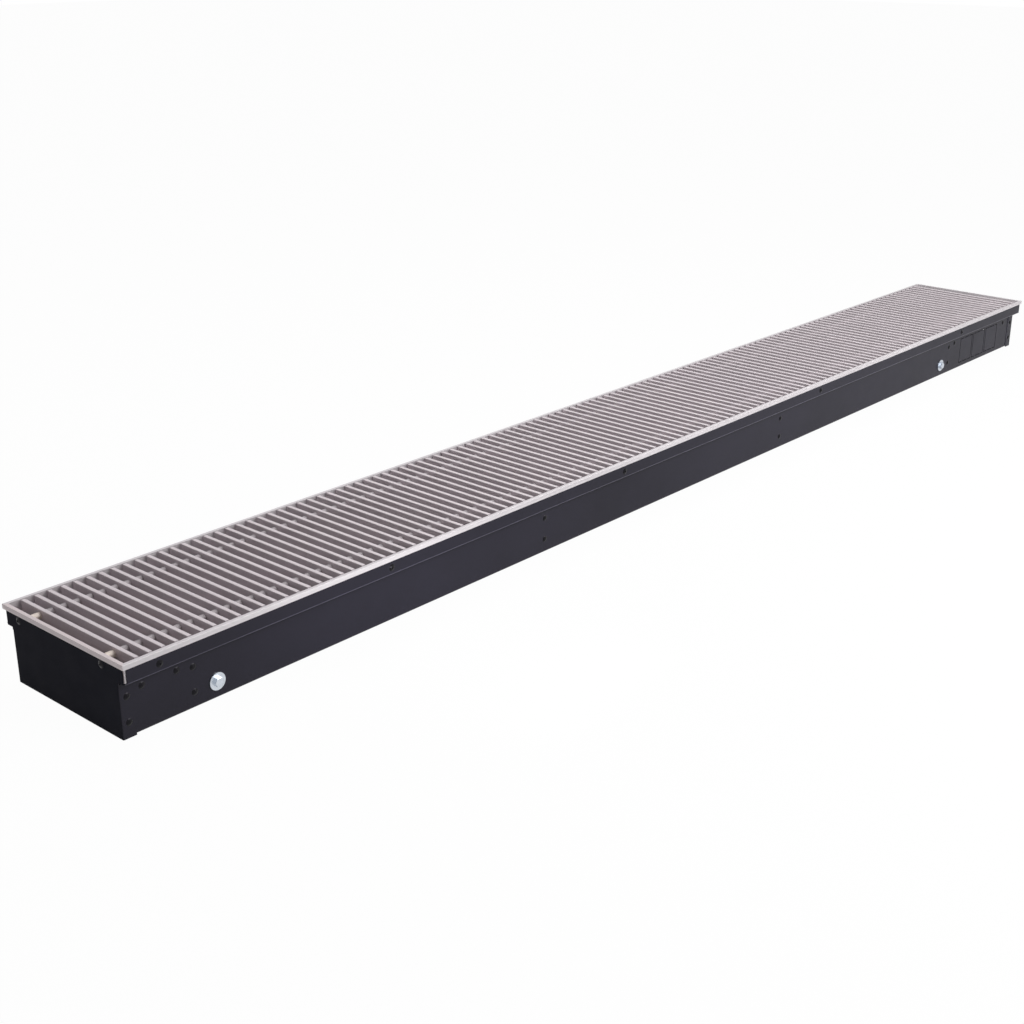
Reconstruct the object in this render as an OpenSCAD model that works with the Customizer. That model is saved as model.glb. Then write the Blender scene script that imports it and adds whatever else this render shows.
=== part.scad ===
// Trench convector heater: a folded steel channel that is let into the floor,
// a finned copper heat exchanger lying in it, and a roll-up grille of cross slats
// that rests inside an aluminium top frame.
// +X runs from the blind end to the end where the pipes enter, +Z is up, and the
// origin is at the middle of the underside. Front is -Y, back is +Y.

/* [Overall] */
// Length over the outside of the top frame
length = 2000; // [1500:1:3000]
// Width over the outside of the top frame
width = 215; // [205:1:300]
// Height from the underside to the top of the grille
height = 87.5; // [85:0.5:140]

/* [Channel] */
// Thickness of the folded sheet steel
sheet = 1.2; // [1:0.1:1.5]
// Outside radius of the folds at the ledge
fold_r = 1.8; // [1.6:0.1:2.5]
// Outside radius of the folds between floor and walls
floor_fold_r = 3.2; // [2:0.2:6]
// How far the rim stands out past the wall
ledge_out = 13.3; // [12:0.1:20]
// Length of the end plate's tab that laps over a wall
tab_len = 16; // [14:1:18]
// Open gap at each corner of the rim, where the frame's leg shows
corner_gap = 2; // [0.5:0.1:3]

/* [Top frame] */
// Thickness of the frame's top face
frame_t = 1.3; // [1:0.1:2]
// Height of the outer lip
lip_h = 5.5; // [3:0.1:8]
// Thickness of the outer lip
lip_t = 1.2; // [1:0.1:2]
// Thickness of the inner leg
leg_t = 2; // [1.5:0.1:3]
// Rounding of the frame's outer top edge
frame_edge_r = 0.4; // [0.2:0.1:0.8]
// Clearance between the frame profile and the rim sheet
seat_gap = 0.1; // [0.05:0.05:0.3]
// Width of the rubber strip under the slats
strip_w = 8; // [5:0.5:9]
// Thickness of the rubber strip under the slats
strip_t = 1.8; // [1:0.1:3]

/* [Grille] */
// Height of a slat
slat_h = 20; // [16:0.5:22]
// Width of a slat's top face
slat_w = 5; // [4:0.5:8]
// Rounding of a slat's long edges
slat_edge_r = 0.6; // [0.2:0.1:1]
// Gap between a slat's end and the frame
slat_end_gap = 2; // [1:0.5:4]
// Length of a spacer sleeve, the open gap between two slats
sleeve_len = 10.9; // [8:0.1:16]
// Outer diameter of a spacer sleeve
sleeve_d = 8; // [6:0.5:10]
// Diameter of the rods that carry the slats
rod_d = 3; // [2:0.5:4]
// Distance between the two rods
rod_spacing = 132; // [100:1:150]
// Depth of the rods below the top of the slats
rod_drop = 9; // [7:0.5:11]
// Centre of the first slat from the blind end
grille_start = 21; // [20:0.5:30]
// Length of the brass caps on the rods' ends
cap_len = 10; // [6:0.5:12]
// Diameter of the brass caps
cap_d = 8; // [7:0.5:11]

/* [Heat exchanger] */
// Width of a fin
fin_w = 108; // [90:1:140]
// Thickness of a fin
fin_t = 0.4; // [0.3:0.1:1]
// Distance from fin to fin
fin_pitch = 5; // [4:0.5:12]
// Air space between the fins and the channel's floor
fin_lift = 7; // [5:0.5:9]
// Air space between the fins and the slats
fin_headroom = 9.3; // [6:0.1:20]
// Outer diameter of the copper tubes
tube_d = 15; // [12:1:18]
// Wall of the copper tubes
tube_wall = 1; // [0.8:0.1:1.5]
// Distance between the two tubes
tube_spacing = 60; // [50:1:80]
// Distance from the blind end to the first tube bracket
blind_zone = 91; // [85:1:120]
// Distance from the last tube bracket to the pipe end
pipe_zone = 254; // [250:1:320]

/* [Brackets and ties] */
// Sheet thickness of brackets and cross ties
bracket_t = 1.5; // [1:0.1:2]
// Inside radius of the folds of brackets and cross ties
bracket_fold_r = 1; // [0.5:0.1:2]
// Width of a bracket's side flange
bracket_flange = 16; // [14:1:20]
// Underside of a bracket above the channel's underside
bracket_z = 10; // [6:1:12]
// Depth of a bracket's top edge below the ledge
bracket_drop = 8.5; // [8:0.5:13]
// Wall of the rubber liner between bracket and tube
liner_t = 2; // [1.5:0.5:3]
// Height of a cross tie
tie_h = 12; // [10:1:14]
// Width of a cross tie's side flange
tie_flange = 14; // [12:1:16]
// Air space between the tubes and the cross ties
tie_gap = 3.8; // [2:0.1:8]
// Distance from the blind end to the first cross tie
blind_tie_inset = 29; // [24:1:34]
// Distance from the last cross tie to the pipe end
pipe_tie_inset = 39; // [34:1:44]

/* [Pipe entries] */
// Width of a knock-out opening in a wall
knockout_w = 46; // [30:1:46]
// Height of the wall above the knock-out openings
knockout_drop = 11; // [8:0.5:20]
// Lower edge of the knock-out openings
knockout_z = 8.5; // [6:0.5:12]
// Slit around a knock-out plate
slit = 1.4; // [0.5:0.1:2]
// Diameter of the round knock-outs in the pipe end plate
end_knockout_d = 31.6; // [26:0.2:36]

/* [Fasteners] */
// Shank diameter of a blind rivet
rivet_d = 4; // [3:0.5:5]
// Head diameter of a blind rivet
rivet_head_d = 8; // [6:0.5:9]
// Shank diameter of a frame screw
screw_d = 5; // [3:0.5:5]
// Head diameter of a frame screw
screw_head_d = 8.4; // [6:0.1:9]
// Shank diameter of a foot bolt
bolt_d = 6; // [5:1:10]
// Width across flats of a foot bolt's head and nut
bolt_af = 10; // [8:1:15]
// Diameter of a foot bolt's washer
washer_d = 20; // [16:1:24]

/* [Hidden] */

$fn = 48;
// Overrun of every cut past the face that it opens
over = 1;

// Main lines of the section, measured from the middle
half_l = length / 2;
half_w = width / 2;
inner_fold_r = fold_r - sheet;
rim_out = half_w - lip_t - seat_gap;
rim_in = rim_out - sheet;
leg_out = rim_in - seat_gap;
leg_in = leg_out - leg_t;
frame_w = half_w - leg_in;
wall_out = rim_out - ledge_out;
wall_in = wall_out - sheet;
slat_z = height - slat_h;
ledge_top = slat_z - strip_t;
ledge_z = ledge_top - sheet;
rim_top = height - frame_t;
plate_out = half_l - lip_t - seat_gap;
plate_in = plate_out - sheet;
tab_out = wall_out + sheet;
tab_top = ledge_z - fold_r - sheet;

fin_h = slat_z - fin_headroom - fin_lift - sheet;
tube_r = tube_d / 2;
tube_z = sheet + fin_lift + fin_h / 2;
bracket_h = ledge_z - bracket_drop - bracket_z;
tie_z = tube_z + tube_r + tie_gap;
knockout_h = ledge_z - knockout_drop - knockout_z;

// Rivets, screws and bolts
rivet_clear = 0.05;
rivet_head_h = 1.4;
bulb_d = 6;
bulb_len = 3.5;
screw_clear = 0.1;
hex_face_share = 0.95;
screw_head_h = 1.2;
rim_screw_drop = 14;
end_screw_drop = 12;
rim_screw_z = height - rim_screw_drop;
end_screw_z = height - end_screw_drop;
rim_screw_shares = [0.0215, 0.1805, 0.395, 0.643, 0.881];
end_screw_shares = [0.186, 0.874];
screw_key_d = 2.6;
screw_key_depth = 0.8;
bolt_clear = 0.3;
bolt_head_h = 4;
bolt_nut_h = 5;
bolt_end = 1.5;
washer_t = 1.3;
bolt_z = 19.7;
bolt_to_bracket = 28.5;
tab_rivet_inset = 10;
tab_rivet_drop = 15.5;
tab_rivet_low_z = 17.3;
tab_rivet_high_z = tab_top - tab_rivet_drop;
rivet_to_foot = 8.3;
rivet_to_top = 9;
rivet_low_z = bracket_z + rivet_to_foot;
rivet_high_z = bracket_z + bracket_h - rivet_to_top;

// Tube brackets stand at equal steps between the blind zone and the pipe zone
bracket_count = 4;
bracket_step = (length - blind_zone - pipe_zone) / (bracket_count - 1);
bracket_xs = [for (i = [0:bracket_count - 1]) -half_l + blind_zone + i * bracket_step];
first_bracket_x = bracket_xs[0];
last_bracket_x = bracket_xs[bracket_count - 1];
web_shift = bracket_flange / 2 - bracket_t;
tie_to_bracket = 20;
tie_xs = [-half_l + blind_tie_inset, first_bracket_x - tie_to_bracket,
    last_bracket_x + tie_to_bracket, half_l - pipe_tie_inset];
tie_rivet_z = tie_z + tie_h / 2;
bolt_xs = [first_bracket_x + bolt_to_bracket, last_bracket_x - bolt_to_bracket];

// Places of the blind rivets in the walls and in the end plates' tabs: [x, z]
wall_rivets = concat(
    [for (x = bracket_xs, z = [rivet_low_z, rivet_high_z]) [x, z]],
    [for (x = tie_xs) [x, tie_rivet_z]]);
tab_rivets = [for (end = [-1, 1], z = [tab_rivet_low_z, tab_rivet_high_z])
    [end * (half_l - tab_rivet_inset), z]];

// Heat exchanger
tube_bore_r = tube_r - tube_wall;
tube_y = tube_spacing / 2;
fin_corner_r = 2;
collar_t = 0.4;
fin_end_gap = 6;
notch_r = tube_r + liner_t;
liner_lip = 1.5;
liner_lip_t = 2;
liner_top = 4;
window_w = 26;
window_h = 22;
bend_reach = 28;
bend_x = first_bracket_x + web_shift - bend_reach;
socket_len = 10;
socket_wall = 1;

// Brass unions with an internal pipe thread, and the air vent on the supply side
union_gap = 3;
cup_len = 14;
cup_wall = 1.5;
hex_len = 28;
hex_af = 27;
port_r = 9.3;
port_len = 16;
union_x = last_bracket_x + web_shift + bracket_t + union_gap;
hex_x = union_x + cup_len;
port_x = hex_x + hex_len;
vent_to_port = 5;
vent_x = port_x - port_len - vent_to_port;
vent_z = tube_z + hex_af / 2;
vent_thread_r = 4.9;
vent_thread_clear = 0.1;
vent_hex_af = 12;
vent_hex_h = 4;
vent_neck_r = 4.5;
vent_neck_h = 6;
vent_skirt = 0.5;
bleed_r = 2.5;
bleed_clear = 0.05;
bleed_depth = 8;
bleed_head_af = 5;
bleed_head_h = 5;

// Knock-outs
knockout_count = 3;
knockout_land = 4;
knockout_end = 64;
bridge_w = 3;
bridge_share = 0.28;
end_bridge_count = 3;
disc_r = end_knockout_d / 2 - slit;

// Grille
slat_pitch = slat_w + sleeve_len;
slat_x0 = -half_l + grille_start;
slat_half = leg_in - slat_end_gap;
rod_r = rod_d / 2;
rod_y = rod_spacing / 2;
rod_z = height - rod_drop;
rod_clear = 0.1;
sleeve_r = sleeve_d / 2;
cap_dome = 2;
cap_gap = 0.15;
end_space = frame_w + cap_gap + cap_len + slat_w / 2;
slat_count = floor((length - grille_start - end_space) / slat_pitch) + 1;
roll_count = 9;
last_slat_x = slat_x(slat_count);

function slat_x(n) = slat_x0 + (n - 1) * slat_pitch;
function bracket_web_x(i) = bracket_xs[i] + web_shift;
function across_flats_r(af) = af / 2 / cos(30);

// Low edge of knock-out number i along X, counted from the pipe end
function knockout_x(i) = half_l - knockout_end - knockout_w - i * (knockout_w + knockout_land);

// Extrudes a section drawn in the plane of Y and Z along +X, from x = 0
module along_x(len) {
    rotate([90, 0, 90])
        linear_extrude(len)
            children();
}

module quarter_disc(r, turn) {
    rotate(turn)
        intersection() {
            circle(r);
            square(r);
        }
}

module quarter_ring(outer, inner, turn) {
    difference() {
        quarter_disc(outer, turn);
        circle(inner);
    }
}

// Hexagon prism on the plane z = 0, with its top edge chamfered at 30 degrees
module hex_block(af, h) {
    face_r = hex_face_share * af / 2;
    intersection() {
        cylinder(h = h, r = across_flats_r(af), $fn = 6);
        cylinder(h = h, r1 = face_r + h * tan(60), r2 = face_r);
    }
}

// Section of a bar across the channel, drawn in the plane of X and Y: a web at x = 0
// and a flange folded towards +X along each wall
module folded_bar(flange) {
    fold_out = bracket_t + bracket_fold_r;
    translate([0, -wall_in + fold_out])
        square([bracket_t, 2 * (wall_in - fold_out)]);
    for (side = [0, 1])
        mirror([0, side]) {
            translate([fold_out, wall_in - fold_out])
                quarter_ring(fold_out, bracket_fold_r, 90);
            translate([fold_out, wall_in - bracket_t])
                square([flange - fold_out, bracket_t]);
        }
}

// Turns something drawn along +Z to point out of the front (-1) or back (1) wall
module facing(side) {
    rotate([-90 * side, 0, 0])
        children();
}

// Cylinder of radius r across the whole channel, through both walls
module cross_hole(x, z, r) {
    translate([x, 0, z])
        rotate([90, 0, 0])
            cylinder(h = width, r = r, center = true);
}

// Channel: floor, walls, ledges and rims folded from one sheet
module channel_section() {
    floor_flat = wall_out - floor_fold_r;
    translate([-floor_flat, 0])
        square([2 * floor_flat, sheet]);
    for (side = [0, 1])
        mirror([side, 0]) {
            translate([floor_flat, floor_fold_r])
                quarter_ring(floor_fold_r, floor_fold_r - sheet, -90);
            translate([wall_in, floor_fold_r])
                square([sheet, ledge_z - inner_fold_r - floor_fold_r]);
            translate([wall_out + inner_fold_r, ledge_z - inner_fold_r])
                quarter_ring(fold_r, inner_fold_r, 90);
            translate([wall_out + inner_fold_r, ledge_z])
                square([rim_out - fold_r - wall_out - inner_fold_r, sheet]);
            translate([rim_out - fold_r, ledge_z + fold_r])
                quarter_ring(fold_r, inner_fold_r, -90);
            translate([rim_in, ledge_z + fold_r])
                square([sheet, rim_top - ledge_z - fold_r]);
        }
}

module channel() {
    color("#26262a")
        difference() {
            translate([-plate_in, 0, 0])
                along_x(2 * plate_in)
                    channel_section();
            // Rim ends, cut back at the corners
            for (end = [-1, 1], side = [-1, 1])
                translate([end * plate_in, side * (rim_out - sheet / 2), ledge_top + height / 2])
                    cube([2 * corner_gap, 2 * sheet, height], center = true);
            for (p = concat(wall_rivets, tab_rivets))
                cross_hole(p[0], p[1], rivet_d / 2 + rivet_clear);
            for (x = bolt_xs)
                cross_hole(x, bolt_z, bolt_d / 2 + bolt_clear);
            rim_screw_holes();
            for (i = [0:knockout_count - 1])
                translate([knockout_x(i), -half_w, knockout_z])
                    cube([knockout_w, width, knockout_h]);
        }
}

// End plate at x = 0 with its outer face towards -X: a flat plate whose lower part
// wraps round both walls in riveted tabs
module end_plate() {
    tab_end = tab_len - sheet;
    difference() {
        union() {
            linear_extrude(tab_top) {
                translate([0, -wall_out])
                    square([sheet, 2 * wall_out]);
                for (side = [0, 1])
                    mirror([0, side]) {
                        translate([sheet, wall_out])
                            quarter_disc(sheet, 90);
                        translate([sheet, wall_out])
                            square([tab_end, sheet]);
                    }
            }
            translate([0, -tab_out, tab_top])
                cube([sheet, 2 * tab_out, ledge_z - tab_top]);
            translate([0, -rim_in + corner_gap, ledge_z])
                cube([sheet, 2 * (rim_in - corner_gap), rim_top - ledge_z]);
        }
        for (p = tab_rivets)
            cross_hole(tab_rivet_inset - (half_l - plate_out), p[1], rivet_d / 2 + rivet_clear);
    }
}

// Holes along X for the screws of one end rail
module end_screw_holes(x) {
    for (s = end_screw_shares)
        translate([x, -half_w + s * width, end_screw_z])
            rotate([0, 90, 0])
                cylinder(h = 2 * tab_len, r = screw_d / 2 + screw_clear, center = true);
}

module end_plate_blind() {
    color("#1c1d21")
        difference() {
            translate([-plate_out, 0, 0])
                end_plate();
            end_screw_holes(-half_l);
        }
}

module end_plate_pipe() {
    color("#1c1d21")
        difference() {
            translate([plate_out, 0, 0])
                mirror([1, 0, 0])
                    end_plate();
            end_screw_holes(half_l);
            for (side = [-1, 1])
                translate([plate_in - over, side * tube_y, tube_z])
                    rotate([0, 90, 0])
                        cylinder(h = sheet + 2 * over, r = end_knockout_d / 2);
        }
}

// Knock-out plates of one wall, held in their openings by small bridges
module wall_knockouts(side) {
    for (i = [0:knockout_count - 1])
        translate([knockout_x(i), side > 0 ? wall_in : -wall_out, knockout_z]) {
            translate([slit, 0, slit])
                cube([knockout_w - 2 * slit, sheet, knockout_h - 2 * slit]);
            for (share = [bridge_share, 1 - bridge_share])
                translate([share * knockout_w - bridge_w / 2, 0, 0])
                    cube([bridge_w, sheet, knockout_h]);
        }
}

module knockouts_front() {
    color("#2b2b30")
        wall_knockouts(-1);
}

module knockouts_back() {
    color("#2b2b30")
        wall_knockouts(1);
}

module knockouts_end() {
    color("#2b2b30")
        for (side = [-1, 1])
            translate([plate_in, side * tube_y, tube_z])
                along_x(sheet) {
                    circle(disc_r);
                    intersection() {
                        circle(end_knockout_d / 2);
                        for (i = [0:end_bridge_count - 1])
                            rotate(i * 360 / end_bridge_count)
                                translate([0, -bridge_w / 2])
                                    square([end_knockout_d, bridge_w]);
                    }
                }
}

// Section of the top frame, drawn inwards from its outer top edge
module frame_section() {
    translate([frame_edge_r, -frame_edge_r])
        quarter_disc(frame_edge_r, 90);
    translate([frame_edge_r, -frame_t])
        square([frame_w - frame_edge_r, frame_t]);
    translate([0, -lip_h])
        square([lip_t, lip_h - frame_edge_r]);
    translate([frame_w - leg_t, ledge_top + inner_fold_r - height])
        square([leg_t, height - ledge_top - inner_fold_r]);
}

// Rail along X with its outer face at y = 0, mitred at both ends
module mitred_rail(len) {
    deep = frame_w + over;
    intersection() {
        translate([-len / 2, 0, 0])
            along_x(len)
                frame_section();
        translate([0, 0, -height])
            linear_extrude(height + over)
                polygon([[-len / 2, 0], [len / 2, 0], [len / 2 - deep, deep], [deep - len / 2, deep]]);
    }
}

module rim_screw_holes() {
    for (s = rim_screw_shares)
        cross_hole(-half_l + s * length, rim_screw_z, screw_d / 2 + screw_clear);
}

module frame_rail_front() {
    color("#d3cccf")
        difference() {
            translate([0, -half_w, height])
                mitred_rail(length);
            rim_screw_holes();
        }
}

module frame_rail_back() {
    color("#d3cccf")
        difference() {
            translate([0, half_w, height])
                rotate(180)
                    mitred_rail(length);
            rim_screw_holes();
        }
}

module frame_rail_blind() {
    color("#cfc8cb")
        difference() {
            translate([-half_l, 0, height])
                rotate(-90)
                    mitred_rail(width);
            end_screw_holes(-half_l);
        }
}

module frame_rail_pipe() {
    color("#cfc8cb")
        difference() {
            translate([half_l, 0, height])
                rotate(90)
                    mitred_rail(width);
            end_screw_holes(half_l);
        }
}

// Low domed head of radius r and height h on the plane z = 0
module dome(r, h) {
    ball_r = (r * r + h * h) / (2 * h);
    rotate_extrude()
        intersection() {
            translate([0, h - ball_r])
                circle(ball_r);
            square([r, h]);
        }
}

// Frame screw along Z, with its head's seat at z = 0
module frame_screw() {
    grip = sheet + seat_gap + leg_t;
    difference() {
        union() {
            dome(screw_head_d / 2, screw_head_h);
            translate([0, 0, -grip])
                cylinder(h = grip, r = screw_d / 2);
        }
        translate([0, 0, screw_head_h - screw_key_depth])
            cylinder(h = screw_key_depth + over, r = screw_key_d / 2, $fn = 6);
    }
}

module frame_screws() {
    color("#34343a") {
        for (s = rim_screw_shares, side = [-1, 1])
            translate([-half_l + s * length, side * rim_out, rim_screw_z])
                facing(side)
                    frame_screw();
        for (s = end_screw_shares, end = [-1, 1])
            translate([end * plate_out, -half_w + s * width, end_screw_z])
                rotate([0, 90 * end, 0])
                    frame_screw();
    }
}

// Rubber strip that the slats rest on
module rest_strip(side) {
    strip_in = leg_in - strip_w;
    translate([-plate_in + leg_t + seat_gap, side > 0 ? strip_in : -leg_in, ledge_top])
        cube([2 * (plate_in - leg_t - seat_gap), strip_w, strip_t]);
}

module rest_strip_front() {
    color("#1a1a1a")
        rest_strip(-1);
}

module rest_strip_back() {
    color("#1a1a1a")
        rest_strip(1);
}

// Blind rivet along Z, with its head's seat at z = 0 and its bulb under the grip
module blind_rivet(grip) {
    dome(rivet_head_d / 2, rivet_head_h);
    translate([0, 0, -grip])
        cylinder(h = grip, r = rivet_d / 2);
    translate([0, 0, -grip - bulb_len])
        cylinder(h = bulb_len, r = bulb_d / 2);
}

module blind_rivets() {
    color("#222226")
        for (side = [-1, 1]) {
            for (p = wall_rivets)
                translate([p[0], side * wall_out, p[1]])
                    facing(side)
                        blind_rivet(sheet + bracket_t);
            for (p = tab_rivets)
                translate([p[0], side * tab_out, p[1]])
                    facing(side)
                        blind_rivet(2 * sheet);
        }
}

// Notch outline for one tube: a round seat of radius r that is open upwards
module tube_notch(r, top) {
    circle(r);
    translate([-r, 0])
        square([2 * r, top]);
}

// Tube bracket: a folded plate across the channel with an open notch for each tube and
// a window beside each, and two flanges riveted to the walls
module tube_bracket(i) {
    notch_top = bracket_z + bracket_h - tube_z;
    window_y = (tube_y + notch_r + wall_in) / 2;
    color("#3a3a3f")
        difference() {
            translate([bracket_web_x(i) + bracket_t, 0, bracket_z])
                mirror([1, 0, 0])
                    linear_extrude(bracket_h)
                        folded_bar(bracket_flange);
            translate([bracket_web_x(i) - over, 0, tube_z])
                along_x(bracket_t + 2 * over)
                    for (side = [-1, 1]) {
                        translate([side * tube_y, 0])
                            tube_notch(notch_r, notch_top + over);
                        translate([side * window_y - window_w / 2, -window_h / 2])
                            square([window_w, window_h]);
                    }
            for (z = [rivet_low_z, rivet_high_z])
                cross_hole(bracket_xs[i], z, rivet_d / 2 + rivet_clear);
        }
}

// Outline of a liner around the tube, out to radius outer
module liner_section(outer) {
    liner_h = bracket_z + bracket_h - tube_z - liner_top;
    difference() {
        tube_notch(outer, liner_h);
        tube_notch(tube_r, liner_h + over);
    }
}

// Rubber liner of one notch, with a lip on each side of the web
module bracket_liner(i) {
    translate([bracket_web_x(i), 0, tube_z]) {
        along_x(bracket_t)
            liner_section(notch_r);
        for (x = [-liner_lip_t, bracket_t])
            translate([x, 0, 0])
                along_x(liner_lip_t)
                    liner_section(notch_r + liner_lip);
    }
}

module bracket_liners() {
    color("#141414")
        for (i = [0:bracket_count - 1], side = [-1, 1])
            translate([0, side * tube_y, 0])
                bracket_liner(i);
}

// Cross tie: a folded bar on edge between the walls, riveted at each end
module cross_tie(i) {
    color("#3a3a3f")
        difference() {
            translate([tie_xs[i] - tie_flange / 2, 0, tie_z])
                linear_extrude(tie_h)
                    folded_bar(tie_flange);
            cross_hole(tie_xs[i], tie_rivet_z, rivet_d / 2 + rivet_clear);
        }
}

// Places something once at each foot bolt, pointing out of its wall
module at_foot_bolts(out) {
    for (x = bolt_xs, side = [-1, 1])
        translate([x, side * out, bolt_z])
            facing(side)
                children();
}

module foot_bolts() {
    shank = washer_t + sheet + bolt_nut_h + bolt_end;
    color("#c9ced6")
        at_foot_bolts(wall_out + washer_t) {
            hex_block(bolt_af, bolt_head_h);
            translate([0, 0, -shank])
                cylinder(h = shank, r = bolt_d / 2);
        }
}

module foot_washers() {
    color("#d8dce3")
        at_foot_bolts(wall_out)
            difference() {
                cylinder(h = washer_t, r = washer_d / 2);
                translate([0, 0, -over])
                    cylinder(h = washer_t + 2 * over, r = bolt_d / 2 + bolt_clear);
            }
}

module foot_nuts() {
    color("#c9ced6")
        at_foot_bolts(wall_in)
            difference() {
                mirror([0, 0, 1])
                    hex_block(bolt_af, bolt_nut_h);
                translate([0, 0, -bolt_nut_h - over])
                    cylinder(h = bolt_nut_h + 2 * over, r = bolt_d / 2);
            }
}

module tube_ring() {
    difference() {
        circle(tube_r);
        circle(tube_bore_r);
    }
}

// Straight copper tube from the return bend into its union
module straight_tube(y) {
    color("#b8734a")
        translate([bend_x, y, tube_z])
            along_x(hex_x - bend_x)
                tube_ring();
}

module supply_tube() {
    straight_tube(-tube_y);
}

module return_tube() {
    straight_tube(tube_y);
}

// U-bend at the blind end, with a belled socket over each straight tube
module return_bend() {
    color("#b8734a")
        translate([bend_x, 0, tube_z]) {
            rotate(90)
                rotate_extrude(angle = 180)
                    translate([tube_y, 0])
                        tube_ring();
            for (side = [-1, 1])
                translate([0, side * tube_y, 0])
                    along_x(socket_len)
                        difference() {
                            circle(tube_r + socket_wall);
                            circle(tube_r);
                        }
        }
}

// Outline of a fin, with rounded corners and a hole for each tube
module fin_section() {
    difference() {
        translate([-fin_w / 2, tube_z - fin_h / 2]) {
            translate([fin_corner_r, 0])
                square([fin_w - 2 * fin_corner_r, fin_h]);
            translate([0, fin_corner_r])
                square([fin_w, fin_h - 2 * fin_corner_r]);
            for (y = [fin_corner_r, fin_w - fin_corner_r], z = [fin_corner_r, fin_h - fin_corner_r])
                translate([y, z])
                    circle(fin_corner_r);
        }
        for (side = [-1, 1])
            translate([side * tube_y, tube_z])
                circle(tube_r);
    }
}

// Fins between bracket i and the next, as many as the pitch allows, with the drawn
// collars that space them and grip the tubes
module fin_pack(i) {
    low = bracket_web_x(i) + bracket_t + fin_end_gap;
    room = bracket_web_x(i + 1) - fin_end_gap - low;
    count = floor((room - fin_t) / fin_pitch) + 1;
    pack_len = (count - 1) * fin_pitch + fin_t;
    color("#c3c7cb")
        translate([low + (room - pack_len) / 2, 0, 0]) {
            for (n = [0:count - 1])
                translate([n * fin_pitch, 0, 0])
                    along_x(fin_t)
                        fin_section();
            for (side = [-1, 1])
                translate([0, side * tube_y, tube_z])
                    along_x(pack_len)
                        difference() {
                            circle(tube_r + collar_t);
                            circle(tube_r);
                        }
        }
}

// Brass union: a solder cup on the tube and a hexagon with a threaded port
module brass_union(y, vented) {
    color("#b9974f")
        difference() {
            translate([0, y, tube_z])
                rotate([0, 90, 0]) {
                    translate([0, 0, union_x])
                        cylinder(h = cup_len, r = tube_r + cup_wall);
                    translate([0, 0, hex_x])
                        rotate(30)
                            hex_block(hex_af, hex_len);
                }
            translate([0, y, tube_z])
                rotate([0, 90, 0]) {
                    translate([0, 0, union_x - over])
                        cylinder(h = cup_len + over, r = tube_r);
                    translate([0, 0, hex_x - over])
                        cylinder(h = hex_len, r = tube_bore_r);
                    translate([0, 0, port_x - port_len])
                        cylinder(h = port_len + over, r = port_r);
                }
            if (vented)
                translate([vent_x, y, tube_z])
                    cylinder(h = hex_af, r = vent_thread_r);
        }
}

module supply_union() {
    brass_union(-tube_y, true);
}

module return_union() {
    brass_union(tube_y, false);
}

// Manual air vent, screwed into the top of the supply union
module vent_body() {
    stub = (hex_af / 2 - tube_bore_r) / 2;
    color("#c8b27a")
        translate([vent_x, -tube_y, vent_z])
            difference() {
                union() {
                    translate([0, 0, -stub])
                        cylinder(h = stub, r = vent_thread_r - vent_thread_clear);
                    hex_block(vent_hex_af, vent_hex_h);
                    translate([0, 0, vent_hex_h])
                        cylinder(h = vent_neck_h, r = vent_neck_r);
                }
                translate([0, 0, vent_hex_h + vent_neck_h - bleed_depth - vent_skirt])
                    cylinder(h = bleed_depth + vent_skirt + over, r = bleed_r + bleed_clear);
            }
}

// Bleed screw of the air vent, with a square head for the key
module bleed_screw() {
    color("#d6d2c4")
        translate([vent_x, -tube_y, vent_z + vent_hex_h + vent_neck_h]) {
            translate([0, 0, -bleed_depth])
                cylinder(h = bleed_depth, r = bleed_r);
            translate([-bleed_head_af / 2, -bleed_head_af / 2, 0])
                cube([bleed_head_af, bleed_head_af, bleed_head_h]);
        }
}

// Slat section with rounded edges, standing on z = 0
module slat_section() {
    flat_w = slat_w - 2 * slat_edge_r;
    translate([-flat_w / 2, 0])
        square([flat_w, slat_h]);
    translate([-slat_w / 2, slat_edge_r])
        square([slat_w, slat_h - 2 * slat_edge_r]);
    for (side = [-1, 1], z = [slat_edge_r, slat_h - slat_edge_r])
        translate([side * flat_w / 2, z])
            circle(slat_edge_r);
}

module slat(n) {
    translate([slat_x(n), 0, 0])
        difference() {
            translate([0, slat_half, slat_z])
                rotate([90, 0, 0])
                    linear_extrude(2 * slat_half)
                        slat_section();
            for (side = [-1, 1])
                translate([-slat_w, side * rod_y, rod_z])
                    rotate([0, 90, 0])
                        cylinder(h = 2 * slat_w, r = rod_r + rod_clear);
        }
}

// Spacer sleeves between slat n and the next
module sleeves(n) {
    for (side = [-1, 1])
        translate([slat_x(n) + slat_w / 2, side * rod_y, rod_z])
            along_x(sleeve_len)
                difference() {
                    circle(sleeve_r);
                    circle(rod_r + rod_clear);
                }
}

// Rod of radius rod_r along X between two places
module rod(y, x_from, x_to) {
    translate([x_from, y, rod_z])
        rotate([0, 90, 0])
            cylinder(h = x_to - x_from, r = rod_r);
}

// Cap on a rod's end, with its seat at z = 0 and a domed nose
module rod_cap() {
    cylinder(h = cap_len - cap_dome, r = cap_d / 2);
    translate([0, 0, cap_len - cap_dome])
        dome(cap_d / 2, cap_dome);
}

module roll_slat(n) {
    color("#cbc3c5")
        slat(n);
}

// Sleeves of one gap with the stretch of flexible rod that runs in them
module roll_joiners(n) {
    color("#bdb5b7") {
        sleeves(n);
        for (side = [-1, 1])
            rod(side * rod_y, slat_x(n) - slat_w / 2, slat_x(n + 1) - slat_w / 2);
    }
}

module roll_caps() {
    color("#c9a878")
        for (side = [-1, 1])
            translate([slat_x(1) - slat_w / 2, side * rod_y, rod_z])
                rotate([0, -90, 0])
                    rod_cap();
}

module grille_slats() {
    color("#cbc3c5")
        for (n = [roll_count + 1:slat_count])
            slat(n);
}

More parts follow.
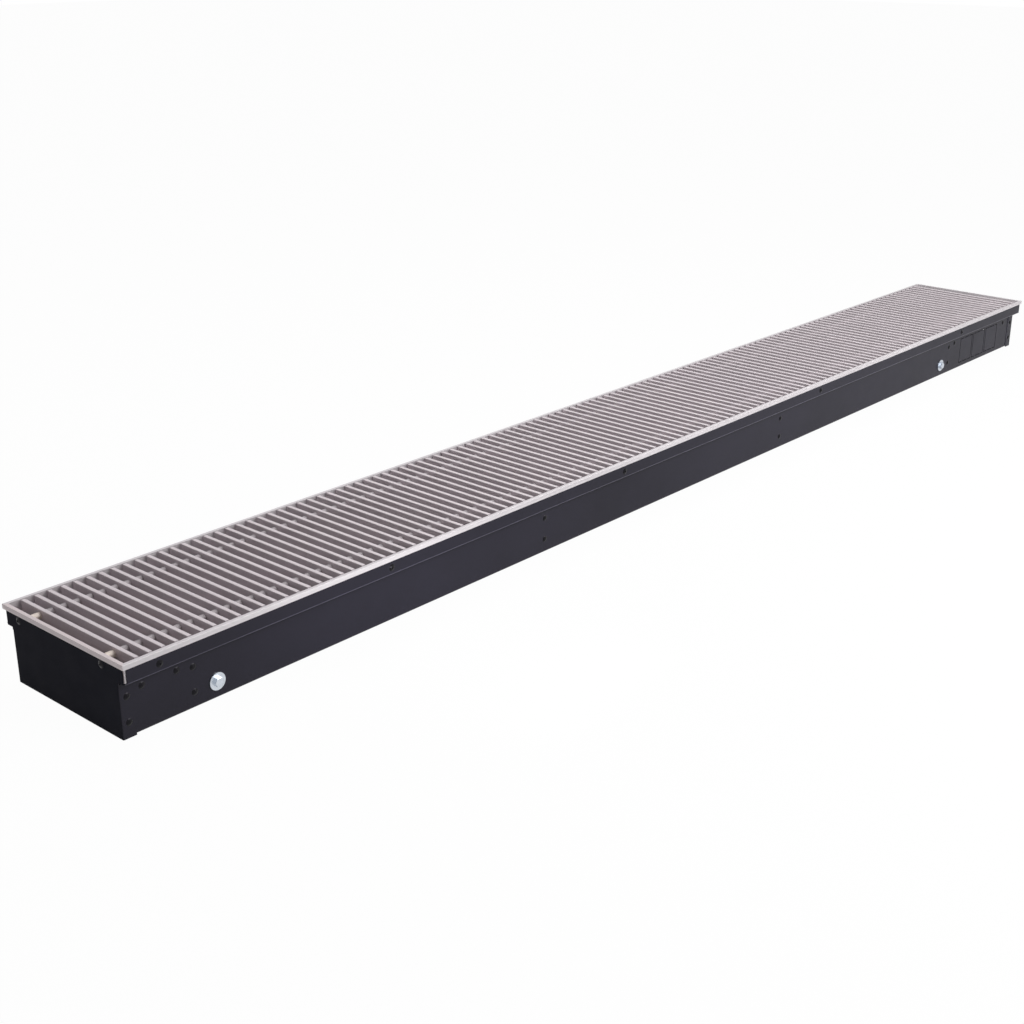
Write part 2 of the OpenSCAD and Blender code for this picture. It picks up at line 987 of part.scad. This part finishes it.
module grille_sleeves() {
    color("#bdb5b7")
        for (n = [roll_count + 1:slat_count - 1])
            sleeves(n);
}

module grille_rod(side) {
    color("#9a9a9e")
        rod(side * rod_y, slat_x(roll_count + 1) - slat_w / 2, last_slat_x + slat_w / 2);
}

module grille_rod_caps() {
    color("#c9a878")
        for (side = [-1, 1])
            translate([last_slat_x + slat_w / 2, side * rod_y, rod_z])
                rotate([0, 90, 0])
                    rod_cap();
}

channel();
end_plate_blind();
end_plate_pipe();
frame_rail_front();
frame_rail_back();
frame_rail_blind();
frame_rail_pipe();
frame_screws();
rest_strip_front();
rest_strip_back();
blind_rivets();
tube_bracket(0);  // tube_bracket_1
tube_bracket(1);  // tube_bracket_2
tube_bracket(2);  // tube_bracket_3
tube_bracket(3);  // tube_bracket_4
bracket_liners();
cross_tie(0);  // cross_tie_1
cross_tie(1);  // cross_tie_2
cross_tie(2);  // cross_tie_3
cross_tie(3);  // cross_tie_4
foot_bolts();
foot_washers();
foot_nuts();
knockouts_front();
knockouts_back();
knockouts_end();
supply_tube();
return_tube();
return_bend();
fin_pack(0);  // fin_pack_1
fin_pack(1);  // fin_pack_2
fin_pack(2);  // fin_pack_3
supply_union();
return_union();
vent_body();
bleed_screw();
grille_slats();
grille_sleeves();
grille_rod(-1);  // grille_rod_front
grille_rod(1);  // grille_rod_back
grille_rod_caps();
roll_caps();
roll_slat(1);  // roll_slat_1
roll_slat(2);  // roll_slat_2
roll_slat(3);  // roll_slat_3
roll_slat(4);  // roll_slat_4
roll_slat(5);  // roll_slat_5
roll_slat(6);  // roll_slat_6
roll_slat(7);  // roll_slat_7
roll_slat(8);  // roll_slat_8
roll_slat(9);  // roll_slat_9
roll_joiners(1);  // roll_joiners_1
roll_joiners(2);  // roll_joiners_2
roll_joiners(3);  // roll_joiners_3
roll_joiners(4);  // roll_joiners_4
roll_joiners(5);  // roll_joiners_5
roll_joiners(6);  // roll_joiners_6
roll_joiners(7);  // roll_joiners_7
roll_joiners(8);  // roll_joiners_8
roll_joiners(9);  // roll_joiners_9
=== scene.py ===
import math
from collections import namedtuple

import bmesh
import bpy
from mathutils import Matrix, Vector


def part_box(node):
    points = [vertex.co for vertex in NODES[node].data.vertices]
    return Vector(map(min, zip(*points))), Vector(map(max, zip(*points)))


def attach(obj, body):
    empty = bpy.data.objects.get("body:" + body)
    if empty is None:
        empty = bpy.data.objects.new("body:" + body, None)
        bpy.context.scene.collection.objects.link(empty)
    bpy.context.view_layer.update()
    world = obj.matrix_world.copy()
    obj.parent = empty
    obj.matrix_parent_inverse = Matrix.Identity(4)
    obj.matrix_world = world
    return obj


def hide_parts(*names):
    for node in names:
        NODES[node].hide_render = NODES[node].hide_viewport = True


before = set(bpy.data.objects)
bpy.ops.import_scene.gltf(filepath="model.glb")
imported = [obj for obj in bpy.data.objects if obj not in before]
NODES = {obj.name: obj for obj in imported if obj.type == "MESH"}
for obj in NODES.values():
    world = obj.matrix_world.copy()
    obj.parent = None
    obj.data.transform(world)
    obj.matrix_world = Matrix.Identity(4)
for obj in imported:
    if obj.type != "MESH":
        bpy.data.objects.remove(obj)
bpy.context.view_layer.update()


# Sizes and places, in metres

def extent(node, axis):
    """Lowest and highest place of a node along an axis, to a micrometre."""
    low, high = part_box(node)
    index = "xyz".index(axis)
    return round(low[index], 6), round(high[index], 6)


# Folded sheet of the casing
SHEET = 0.0012
FOLD_R = 0.0018

# Underside of the ledges, outside of the rims, the end plates' tabs and outer faces,
# and a height halfway between the tabs' tops and the ledges
LEDGE_Z = extent("rest_strip_front", "z")[0] - SHEET
RIM_Y = extent("channel", "y")[1]
TAB_END_X, PLATE_X = extent("end_plate_pipe", "x")
OVER_TABS_Z = LEDGE_Z - (FOLD_R + SHEET) / 2

# Faces are told apart by their middle and their normal: a face nearer to a plane than FACE_MARGIN
# lies in it, and one whose normal has more than SQUARE_ON along an axis is square to it, or more
# than OUTWARD, looks out of the casing
FACE_MARGIN = 0.0002
SQUARE_ON = 0.9
OUTWARD = 0.2

# Slats, of which the first ones roll up
SLAT_START, SLAT_END = extent("roll_slat_1", "x")
SLAT_W = SLAT_END - SLAT_START
PITCH = extent("roll_slat_2", "x")[0] - SLAT_START
GRILLE_END = extent("grille_slats", "x")[1]
SLAT_COUNT = round((GRILLE_END - SLAT_END) / PITCH) + 1
ROLL_COUNT = sum(name.startswith("roll_slat_") for name in NODES)

# Rods, which sit a little higher here than in the solids, as the photo shows them,
# with a small bevel on their ends
ROD_LOW, ROD_HIGH = extent("grille_rod_back", "z")
ROD_RAISE = 0.0019
ROD_Z = (ROD_LOW + ROD_HIGH) / 2 + ROD_RAISE
ROD_Y = sum(extent("grille_rod_back", "y")) / 2
ROD_R = (ROD_HIGH - ROD_LOW) / 2
ROD_EDGE = 0.0002

# Sleeves between the slats: (along, below the full radius) steps of a rounded end
SLEEVE_LEN = PITCH - SLAT_W
SLEEVE_R = 0.004
SLEEVE_BORE_R = 0.0017
SLEEVE_EDGE = [(0, 0.0006), (0.0003, 0.0002), (0.0009, 0)]

# Caps on the rods' ends, longer at the blind end: (along, radius) from the foot,
# and (back from the tip, radius) for the nose
CAP_LEN = extent("grille_rod_caps", "x")[1] - GRILLE_END
BLIND_CAP_LEN = 0.012
CAP_FOOT = [(0, 0.0037), (0.0003, 0.004)]
CAP_GROOVE = [(0.0016, 0.004), (0.0018, 0.0037), (0.0023, 0.0037), (0.0025, 0.004)]
CAP_NOSE = [(0.0028, 0.004), (0.0015, 0.0037), (0.0006, 0.003), (0.0001, 0.0018), (0, 0.0008)]

# Points round a turned piece, and the angle in degrees from which its edges are sharp
RING = 24
SHARP_ANGLE = 50


# Node helpers

# Where the colour sockets stand among a Mix node's inputs and outputs
MIX_FIRST, MIX_SECOND, MIX_RESULT = 6, 7, 2
NOISE_ROUGHNESS = 0.55


def feed(tree, socket, value):
    """value is another socket, a number, or three numbers for a colour or a vector."""
    if isinstance(value, bpy.types.NodeSocket):
        tree.links.new(value, socket)
    else:
        socket.default_value = (*value, 1) if socket.type == "RGBA" else value


def fill(tree, node, inputs):
    """inputs: {name: what feed() takes}."""
    for name, value in inputs.items():
        feed(tree, node.inputs[name], value)


def add(tree, kind, inputs=None, **settings):
    node = tree.nodes.new(kind)
    for key, value in settings.items():
        setattr(node, key, value)
    fill(tree, node, inputs or {})
    return node


def new_material(name):
    material = bpy.data.materials.new(name)
    material.use_nodes = True
    return material, material.node_tree, material.node_tree.nodes["Principled BSDF"]


def object_coords(tree, stretch=(1, 1, 1)):
    """Object coordinates in metres, scaled by axis."""
    coords = add(tree, "ShaderNodeTexCoord")
    mapping = add(tree, "ShaderNodeMapping", {"Scale": stretch, "Vector": coords.outputs["Object"]})
    return mapping.outputs["Vector"]


def noise(tree, scale, detail=3, stretch=(1, 1, 1)):
    texture = add(tree, "ShaderNodeTexNoise", {
        "Vector": object_coords(tree, stretch), "Scale": scale, "Detail": detail,
        "Roughness": NOISE_ROUGHNESS,
    })
    return texture.outputs["Fac"]


def cells(tree, scale):
    texture = add(tree, "ShaderNodeTexVoronoi", {"Vector": object_coords(tree), "Scale": scale})
    return texture.outputs["Color"]


def span(tree, source, low, high, source_low=0.3, source_high=0.7):
    """source brought from its own range to low..high."""
    node = add(tree, "ShaderNodeMapRange", {
        "Value": source, "From Min": source_low, "From Max": source_high, "To Min": low, "To Max": high,
    })
    return node.outputs["Result"]


def blend_colours(tree, share, first, second):
    """first where share is 0, second where it is 1; both are sockets or colours."""
    node = add(tree, "ShaderNodeMix", {"Factor": share}, data_type="RGBA")
    feed(tree, node.inputs[MIX_FIRST], first)
    feed(tree, node.inputs[MIX_SECOND], second)
    return node.outputs[MIX_RESULT]


def blend_shaders(tree, share, first, second):
    """first where share is 0, second where it is 1."""
    node = add(tree, "ShaderNodeMixShader")
    for socket, value in zip(node.inputs, (share, first, second)):
        feed(tree, socket, value)
    return node.outputs["Shader"]


def calculate(tree, operation, first, second):
    """What a Math node makes of two sockets or numbers."""
    node = add(tree, "ShaderNodeMath", operation=operation)
    for socket, value in zip(node.inputs, (first, second)):
        feed(tree, socket, value)
    return node.outputs["Value"]


def add_bump(tree, shader, layers):
    """layers: (height socket, strength, distance in metres) triples, chained."""
    below = {}
    for height, strength, distance in layers:
        bump = add(tree, "ShaderNodeBump", {
            "Height": height, "Strength": strength, "Distance": distance, **below,
        })
        below = {"Normal": bump.outputs["Normal"]}
    fill(tree, shader, below)


def shade(colour, factor):
    return tuple(channel * factor for channel in colour)


# Materials

COAT_TINT = (0.90, 0.86, 1.0)
FILM_ROUGHNESS = 0.14
LINE_STRETCH = 0.012


def powder_coat(name, colour, roughness=0.36, gloss=0.03, skin=0.3):
    """Black powder coat: faint orange peel, cloudy gloss and a little dust in the pores.
    skin is the weight of the smooth film on top, which lights up along folds."""
    material, tree, shader = new_material(name)
    cloud = noise(tree, 6, detail=4)
    haze = noise(tree, 45, detail=5)
    peel = noise(tree, 700, detail=2)
    pores = noise(tree, 2600, detail=2)
    dust_share = span(tree, pores, 0, 0.22, source_low=0.55, source_high=0.8)
    base = blend_colours(tree, span(tree, cloud, 0, 1), shade(colour, 0.86), shade(colour, 1.16))
    fill(tree, shader, {
        "Base Color": blend_colours(tree, dust_share, base, shade(colour, 3.2)),
        "Roughness": span(tree, haze, roughness - 0.05, roughness + 0.06),
        "Specular IOR Level": gloss,
        "Specular Tint": COAT_TINT,
        "Coat Weight": skin,
        "Coat Roughness": FILM_ROUGHNESS,
    })
    add_bump(tree, shader, [(peel, 0.12, 0.00012), (pores, 0.1, 0.00003)])
    return material


def drawn_metal(name, colour, roughness, along="X", contrast=0.08, lines=2400, spots=0.0, metallic=1.0):
    """Extruded, drawn or brushed metal: fine lines along one axis, cloudy tone and roughness.
    lines is the scale of the fine lines, and broad ones are nine times as wide. spots is how dark
    its spots may get. A metallic share below 1 stands for an anodised or lacquered skin."""
    material, tree, shader = new_material(name)
    stretch = [LINE_STRETCH if axis == along else 1 for axis in "XYZ"]
    fine = noise(tree, lines, detail=2, stretch=stretch)
    broad = noise(tree, lines / 9, detail=3, stretch=stretch)
    cloud = noise(tree, 14, detail=4)
    dark = shade(colour, 1 - contrast)
    tone = blend_colours(tree, span(tree, broad, 0, 1), dark, shade(colour, 1 + contrast / 2))
    tone = blend_colours(tree, span(tree, cloud, 0, 0.5), tone, dark)
    if spots:
        mottle = noise(tree, 420, detail=3)
        spot_share = span(tree, mottle, 0, spots, source_low=0.6, source_high=0.75)
        tone = blend_colours(tree, spot_share, tone, shade(colour, 0.45))
    fill(tree, shader, {
        "Base Color": tone,
        "Metallic": metallic,
        "Roughness": span(tree, fine, roughness - 0.06, roughness + 0.08),
    })
    add_bump(tree, shader, [(fine, 0.12, 0.00002), (cloud, 0.05, 0.0002)])
    return material


def galvanised(name, colour, metallic=0.5):
    """Hot-dip zinc sheet with spangle of a few millimetres."""
    material, tree, shader = new_material(name)
    spangle = add(tree, "ShaderNodeSeparateColor", {"Color": cells(tree, 260)}).outputs
    cloud = noise(tree, 20, detail=5)
    grit = noise(tree, 1500)
    dark = shade(colour, 0.8)
    tone = blend_colours(tree, spangle["Red"], dark, shade(colour, 1.1))
    fill(tree, shader, {
        "Base Color": blend_colours(tree, span(tree, cloud, 0, 0.5), tone, dark),
        "Metallic": metallic,
        "Roughness": span(tree, spangle["Green"], 0.36, 0.52, source_low=0, source_high=1),
    })
    add_bump(tree, shader, [(spangle["Blue"], 0.05, 0.00005), (grit, 0.08, 0.00002)])
    return material


def turned_metal(name, colour, roughness, stain=None, stain_share=0.0, metallic=1.0):
    """Turned or plated metal: fine all-round grain, small scratches and a patchy tone."""
    material, tree, shader = new_material(name)
    patch = noise(tree, 90, detail=5)
    grain = noise(tree, 3800, detail=2)
    scratch = noise(tree, 900, detail=4, stretch=(1, 0.1, 1))
    tone = blend_colours(tree, span(tree, patch, 0, 1), shade(colour, 0.88), shade(colour, 1.05))
    if stain is not None:
        blot = noise(tree, 40, detail=6)
        blot_share = span(tree, blot, 0, stain_share, source_low=0.5, source_high=0.72)
        tone = blend_colours(tree, blot_share, tone, stain)
    fill(tree, shader, {
        "Base Color": tone,
        "Metallic": metallic,
        "Roughness": span(tree, scratch, roughness - 0.05, roughness + 0.1),
    })
    add_bump(tree, shader, [(grain, 0.08, 0.00002), (scratch, 0.08, 0.00003)])
    return material


def rubber(name, colour):
    """Dull black rubber with a mottled bloom and a fine grain."""
    material, tree, shader = new_material(name)
    mottle = noise(tree, 300, detail=4)
    grain = noise(tree, 2200, detail=3)
    fill(tree, shader, {
        "Base Color": blend_colours(tree, span(tree, mottle, 0, 1), shade(colour, 0.7), shade(colour, 1.5)),
        "Roughness": span(tree, mottle, 0.62, 0.8),
        "Specular IOR Level": 0.3,
    })
    add_bump(tree, shader, [(grain, 0.3, 0.00004)])
    return material


CHANNEL_BLACK = (0.0152, 0.0138, 0.0234)
# Black of the end plates' outer faces, used in a duller copy of the coat that is painted shade
END_SHADED_BLACK = (0.0180, 0.0183, 0.026)
SILVER = (0.65, 0.612, 0.634)
END_SILVER = (0.68, 0.602, 0.614)
SLAT_SILVER = (0.68, 0.617, 0.645)
# Pale grey for the tabs' cut edges: painted light where the edges would show dark
TAB_EDGE_PAINTED_LIGHT = (0.16, 0.155, 0.18)
FASTENER_BLACK = (0.004, 0.004, 0.005)
ROD_STEEL = (0.5, 0.49, 0.48)
CAP_BRASS = (0.72, 0.64, 0.58)
STRIP_BLACK = (0.012, 0.012, 0.012)
LINER_BLACK = (0.016, 0.015, 0.015)
GALVANISED_GREY = (0.58, 0.59, 0.61)
ZINC = (0.60, 0.64, 0.70)
ZINC_STAIN = (0.50, 0.54, 0.52)
COPPER = (0.66, 0.31, 0.17)
BEND_COPPER = (0.62, 0.28, 0.16)
COPPER_STAIN = (0.2, 0.09, 0.06)
FOIL = (0.80, 0.79, 0.80)
BRASS = (0.70, 0.50, 0.22)
BRASS_STAIN = (0.36, 0.22, 0.1)
NICKEL = (0.72, 0.68, 0.58)

mat_channel = powder_coat("channel_powder_coat", CHANNEL_BLACK)
# Duller copy of the coat, without its film, for the end plates' outer faces: painted shade that keeps them
# darker than the walls
mat_end_shaded = powder_coat("end_plate_shaded_powder_coat", END_SHADED_BLACK, roughness=0.5, gloss=0.012, skin=0)
mat_knockout = powder_coat("knockout_powder_coat", shade(CHANNEL_BLACK, 1.1))
# Paler coat on the tabs' cut edges: painted light
mat_tab_edge_painted_light = powder_coat("tab_edge_painted_light_coat", TAB_EDGE_PAINTED_LIGHT)
# Paler, glossier coat on the rims' lower folds: a painted highlight along the folds
mat_fold_painted_highlight = powder_coat("fold_painted_highlight_coat", shade(CHANNEL_BLACK, 3), skin=0.5)
mat_fastener = powder_coat("blackened_fastener", FASTENER_BLACK, roughness=0.26, gloss=0.12, skin=0.06)

mat_rail_x = drawn_metal("frame_aluminium_along_x", SILVER, roughness=0.44, metallic=0.3)
mat_rail_y = drawn_metal("frame_aluminium_along_y", END_SILVER, roughness=0.5, along="Y", metallic=0.32)
# Paler, less metallic copy of the frame aluminium for the pipe-end rail: painted light on its inner leg,
# which lies in the slats' shade
mat_rail_pipe_painted_light = drawn_metal("frame_aluminium_pipe_end_painted_light", shade(SILVER, 1.15), roughness=0.5, along="Y",
                            metallic=0.1)
mat_slat = drawn_metal("slat_aluminium", SLAT_SILVER, roughness=0.44, along="Y", metallic=0.3)
# Darker copy of the slat aluminium for the sleeves: painted shade for their place between the slats
mat_sleeve_painted_shade = drawn_metal("sleeve_aluminium_painted_shade", shade(SLAT_SILVER, 0.6), roughness=0.6, lines=1800,
                         metallic=0.15)
mat_rod = drawn_metal("rod_steel", ROD_STEEL, roughness=0.35)
mat_cap = turned_metal("cap_brass", CAP_BRASS, roughness=0.6, metallic=0.3)

mat_strip = rubber("rest_strip_rubber", STRIP_BLACK)
mat_liner = rubber("liner_rubber", LINER_BLACK)
mat_bracket = galvanised("bracket_galvanised", GALVANISED_GREY)
mat_zinc = turned_metal("bright_zinc", ZINC, roughness=0.26, stain=ZINC_STAIN, stain_share=0.3)
mat_copper = drawn_metal("copper_tube", COPPER, roughness=0.3, contrast=0.2, spots=0.5)
mat_bend = turned_metal("copper_bend", BEND_COPPER, roughness=0.34, stain=COPPER_STAIN, stain_share=0.7)
mat_fin = drawn_metal("fin_foil", FOIL, roughness=0.4, along="Z", contrast=0.06, metallic=0.4)
mat_brass = turned_metal("union_brass", BRASS, roughness=0.3, stain=BRASS_STAIN, stain_share=0.4)
mat_vent = turned_metal("vent_nickel", NICKEL, roughness=0.26)

# Material by how a node's name starts; the longest start that fits counts
MATERIAL_OF = {
    "channel": mat_channel,
    "end_plate": mat_end_shaded,
    "frame_rail_front": mat_rail_x,
    "frame_rail_back": mat_rail_x,
    "frame_rail_blind": mat_rail_y,
    "frame_rail_pipe": mat_rail_pipe_painted_light,
    "frame_screws": mat_fastener,
    "blind_rivets": mat_fastener,
    "rest_strip": mat_strip,
    "bracket_liners": mat_liner,
    "tube_bracket": mat_bracket,
    "cross_tie": mat_bracket,
    "foot_": mat_zinc,
    "knockouts": mat_knockout,
    "supply_tube": mat_copper,
    "return_tube": mat_copper,
    "return_bend": mat_bend,
    "fin_pack": mat_fin,
    "supply_union": mat_brass,
    "return_union": mat_brass,
    "vent_body": mat_vent,
    "bleed_screw": mat_vent,
    "grille_slats": mat_slat,
    "grille_sleeves": mat_sleeve_painted_shade,
    "grille_rod_caps": mat_cap,
    "grille_rod": mat_rod,
    "roll_caps": mat_cap,
    "roll_slat": mat_slat,
    "roll_joiners": mat_sleeve_painted_shade,
}


def dress_nodes():
    for name, node in NODES.items():
        fitting = [start for start in MATERIAL_OF if name.startswith(start)]
        node.data.materials.clear()
        node.data.materials.append(MATERIAL_OF[max(fitting, key=len)])
    for name in ("end_plate_blind", "end_plate_pipe"):
        dress_tabs(NODES[name].data)
    dress_folds(NODES["channel"].data)


def dress_tabs(mesh):
    """Below the ledge, all of an end plate but its outer face has the walls' satin coat; the outer face
    keeps the duller copy of the coat, a painted shade, and the cut edges of the tabs are painted paler, a
    painted light."""
    coat, painted_light = 1, 2
    mesh.materials.append(mat_channel)
    mesh.materials.append(mat_tab_edge_painted_light)
    for face in mesh.polygons:
        from_middle = abs(face.center.x)
        if from_middle < PLATE_X - FACE_MARGIN and face.center.z < OVER_TABS_Z:
            on_edge = abs(face.normal.x) > SQUARE_ON and from_middle < TAB_END_X + FACE_MARGIN
            face.material_index = painted_light if on_edge else coat


def dress_folds(mesh):
    """The lower folds of the rims get a paler, glossier copy of the coat: a painted highlight along the
    folds.
    """
    painted_highlight = 1
    mesh.materials.append(mat_fold_painted_highlight)
    for face in mesh.polygons:
        outward = face.normal.y * math.copysign(1, face.center.y)
        on_fold = abs(face.center.y) > RIM_Y - FOLD_R and face.center.z < LEDGE_Z + FOLD_R
        if on_fold and outward > OUTWARD:
            face.material_index = painted_highlight


# Rods, spacer sleeves and caps of the grille

# A body of revolution about a line along X. way is 1 or -1 along X, section holds (along, radius)
# pairs, a bored one closes on itself round its bore, and paint counts the piece's materials.
Turning = namedtuple("Turning", "x y way section bored paint")


def slat_start(number):
    """Where a slat begins along X. The first slat is number 1."""
    return SLAT_START + (number - 1) * PITCH


def sleeve_section():
    near = [(along, SLEEVE_R - below) for along, below in SLEEVE_EDGE]
    far = [(SLEEVE_LEN - along, radius) for along, radius in reversed(near)]
    return [(0, SLEEVE_BORE_R), *near, *far, (SLEEVE_LEN, SLEEVE_BORE_R)]


def rod_section(length):
    end_r = ROD_R - ROD_EDGE
    return [(0, end_r), (ROD_EDGE, ROD_R), (length - ROD_EDGE, ROD_R), (length, end_r)]


def cap_section(length):
    """Cap with a groove near its foot and a rounded nose."""
    return CAP_FOOT + CAP_GROOVE + [(length - back, radius) for back, radius in CAP_NOSE]


def sleeves_after(numbers):
    """Two sleeves behind each of these slats."""
    return [Turning(slat_start(number) + SLAT_W, side * ROD_Y, 1, sleeve_section(), True, 0)
            for number in numbers for side in (-1, 1)]


def rods_between(start, end, paint=0):
    return [Turning(start, side * ROD_Y, 1, rod_section(end - start), False, paint) for side in (-1, 1)]


def caps_at(x, way, length):
    return [Turning(x, side * ROD_Y, way, cap_section(length), False, 0) for side in (-1, 1)]


def turn(turning, first):
    """Points and faces of a turning. first is the number of its first point."""
    points = []
    for along, radius in turning.section:
        for step in range(RING):
            angle = 2 * math.pi * step / RING
            points.append((turning.x + turning.way * along,
                           turning.y + radius * math.cos(angle), ROD_Z + radius * math.sin(angle)))
    rings = range(first, first + len(points), RING)
    strips = list(zip(rings, rings[1:]))
    closed_ends = [rings[0], rings[-1]]
    if turning.bored:
        strips.append((rings[-1], rings[0]))
        closed_ends = []
    faces = []
    for near, far in strips:
        for step in range(RING):
            after = (step + 1) % RING
            faces.append((near + step, far + step, far + after, near + after))
    for ring in closed_ends:
        faces.append(tuple(range(ring, ring + RING)))
    return points, faces


def turn_faces_outward(mesh):
    work = bmesh.new()
    work.from_mesh(mesh)
    bmesh.ops.recalc_face_normals(work, faces=work.faces)
    work.to_mesh(mesh)
    work.free()


def turned_piece(name, turnings, materials, body, replaced):
    """One piece made of turnings, which rides on a body and stands for the replaced nodes."""
    points, faces, paints = [], [], []
    for turning in turnings:
        more_points, more_faces = turn(turning, len(points))
        points += more_points
        faces += more_faces
        paints += [turning.paint] * len(more_faces)
    mesh = bpy.data.meshes.new(name)
    mesh.from_pydata(points, [], faces)
    for material in materials:
        mesh.materials.append(material)
    mesh.polygons.foreach_set("material_index", paints)
    turn_faces_outward(mesh)
    mesh.shade_smooth()
    mesh.set_sharp_from_angle(angle=math.radians(SHARP_ANGLE))
    piece = bpy.data.objects.new(name, mesh)
    bpy.context.scene.collection.objects.link(piece)
    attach(piece, body)
    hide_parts(*replaced)


def make_grille_rods():
    """The rods of the flat part run through all its slats. Each slat that rolls up has its own
    short lengths of rod, up to the next slat."""
    turned_piece("spacer_sleeves_flat", sleeves_after(range(ROLL_COUNT + 1, SLAT_COUNT)), [mat_sleeve_painted_shade],
                 "grille", ["grille_sleeves"])
    turned_piece("rods_flat", rods_between(slat_start(ROLL_COUNT + 1), GRILLE_END), [mat_rod],
                 "grille", ["grille_rod_front", "grille_rod_back"])
    turned_piece("rod_caps_pipe_end", caps_at(GRILLE_END, 1, CAP_LEN), [mat_cap],
                 "grille", ["grille_rod_caps"])
    turned_piece("rod_caps_blind_end", caps_at(SLAT_START, -1, BLIND_CAP_LEN), [mat_cap],
                 "roll_link_1", ["roll_caps"])
    for number in range(1, ROLL_COUNT + 1):
        rods = rods_between(slat_start(number), slat_start(number + 1), paint=1)
        turned_piece(f"spacer_sleeves_link_{number}", sleeves_after([number]) + rods, [mat_sleeve_painted_shade, mat_rod],
                     f"roll_link_{number}", [f"roll_joiners_{number}"])


# Camera, stage and light

# The camera's place in metres, its angles in degrees, and its lens and sensor in millimetres
CAMERA_AT = (-1.7287, -1.2589, 0.7596)
CAMERA_YAW = 41.704
CAMERA_PITCH = 21.376
CAMERA_LENS = 53.54
SENSOR_WIDTH = 36

# The floor in metres, its colour, how much of it shows as plain white, and the light from all round
WHITE = (1, 1, 1)
FLOOR_COLOUR = (0.86, 0.86, 0.86)
FLOOR_SIZE = 24
FLOOR_GAP = 0.0002
FLOOR_GLOW = 0.975
WORLD_LIGHT = 0.14


def make_camera():
    data = bpy.data.cameras.new("camera")
    data.lens = CAMERA_LENS
    data.sensor_width = SENSOR_WIDTH
    data.clip_start = 0.01
    data.clip_end = 60
    camera = bpy.data.objects.new("camera", data)
    bpy.context.scene.collection.objects.link(camera)
    camera.location = CAMERA_AT
    yaw, pitch = math.radians(CAMERA_YAW), math.radians(CAMERA_PITCH)
    ahead = math.cos(pitch)
    forward = Vector((ahead * math.cos(yaw), ahead * math.sin(yaw), -math.sin(pitch)))
    camera.rotation_euler = forward.to_track_quat("-Z", "Y").to_euler()
    bpy.context.scene.camera = camera


def seen_by_camera(tree):
    """1 on camera, glossy and transmission rays, so that metal shows the pale background too."""
    path = add(tree, "ShaderNodeLightPath")
    seen = path.outputs["Is Camera Ray"]
    for ray in ("Is Glossy Ray", "Is Transmission Ray"):
        seen = calculate(tree, "MAXIMUM", seen, path.outputs[ray])
    return seen


def floor_material():
    """Pale floor that shows as near white to the camera and in metal, and keeps the object's shadow."""
    material, tree, shader = new_material("studio_floor")
    fill(tree, shader, {"Base Color": FLOOR_COLOUR, "Roughness": 0.9, "Specular IOR Level": 0.1})
    glow = add(tree, "ShaderNodeEmission", {"Color": WHITE, "Strength": 1})
    share = calculate(tree, "MULTIPLY", seen_by_camera(tree), FLOOR_GLOW)
    surface = blend_shaders(tree, share, shader.outputs["BSDF"], glow.outputs["Emission"])
    fill(tree, tree.nodes["Material Output"], {"Surface": surface})
    return material


def make_stage():
    bpy.ops.mesh.primitive_plane_add(size=FLOOR_SIZE, location=(0, 0, -FLOOR_GAP))
    floor = bpy.context.object
    floor.name = "studio_floor"
    floor.data.materials.append(floor_material())


def make_world():
    """Even light from all round, with a background that shows as white."""
    world = bpy.data.worlds.new("studio")
    bpy.context.scene.world = world
    world.use_nodes = True
    tree = world.node_tree
    light = tree.nodes["Background"]
    fill(tree, light, {"Color": WHITE, "Strength": WORLD_LIGHT})
    shown = add(tree, "ShaderNodeBackground", {"Color": WHITE, "Strength": 1})
    seen = seen_by_camera(tree)
    surface = blend_shaders(tree, seen, light.outputs["Background"], shown.outputs["Background"])
    fill(tree, tree.nodes["World Output"], {"Surface": surface})


def area_light(name, place, target, size, power, spread=180):
    """Rectangular lamp that lights the object and stays out of the picture itself. Places and
    sizes are in metres, its power in watts and its spread in degrees."""
    data = bpy.data.lights.new(name, "AREA")
    data.shape = "RECTANGLE"
    data.size, data.size_y = size
    data.energy = power
    data.spread = math.radians(spread)
    light = bpy.data.objects.new(name, data)
    bpy.context.scene.collection.objects.link(light)
    light.location = place
    light.rotation_euler = (Vector(target) - Vector(place)).to_track_quat("-Z", "Y").to_euler()
    light.visible_camera = False


def make_lights():
    area_light("overhead", place=(0.2, 0.3, 1.6), target=(0.2, 0, 0), size=(2.3, 0.9), power=14)
    area_light("front_strip", place=(0.22, -1.2, 0.9), target=(0.22, 0, 0.05), size=(2.0, 0.4), power=22)
    area_light("near_fill", place=(-0.60, -0.45, 0.05), target=(-0.64, -0.095, 0.015), size=(0.25, 0.06),
               power=0.11, spread=75)


bpy.context.scene.view_settings.view_transform = "Standard"
make_camera()
make_stage()
make_world()
make_lights()
dress_nodes()
make_grille_rods()
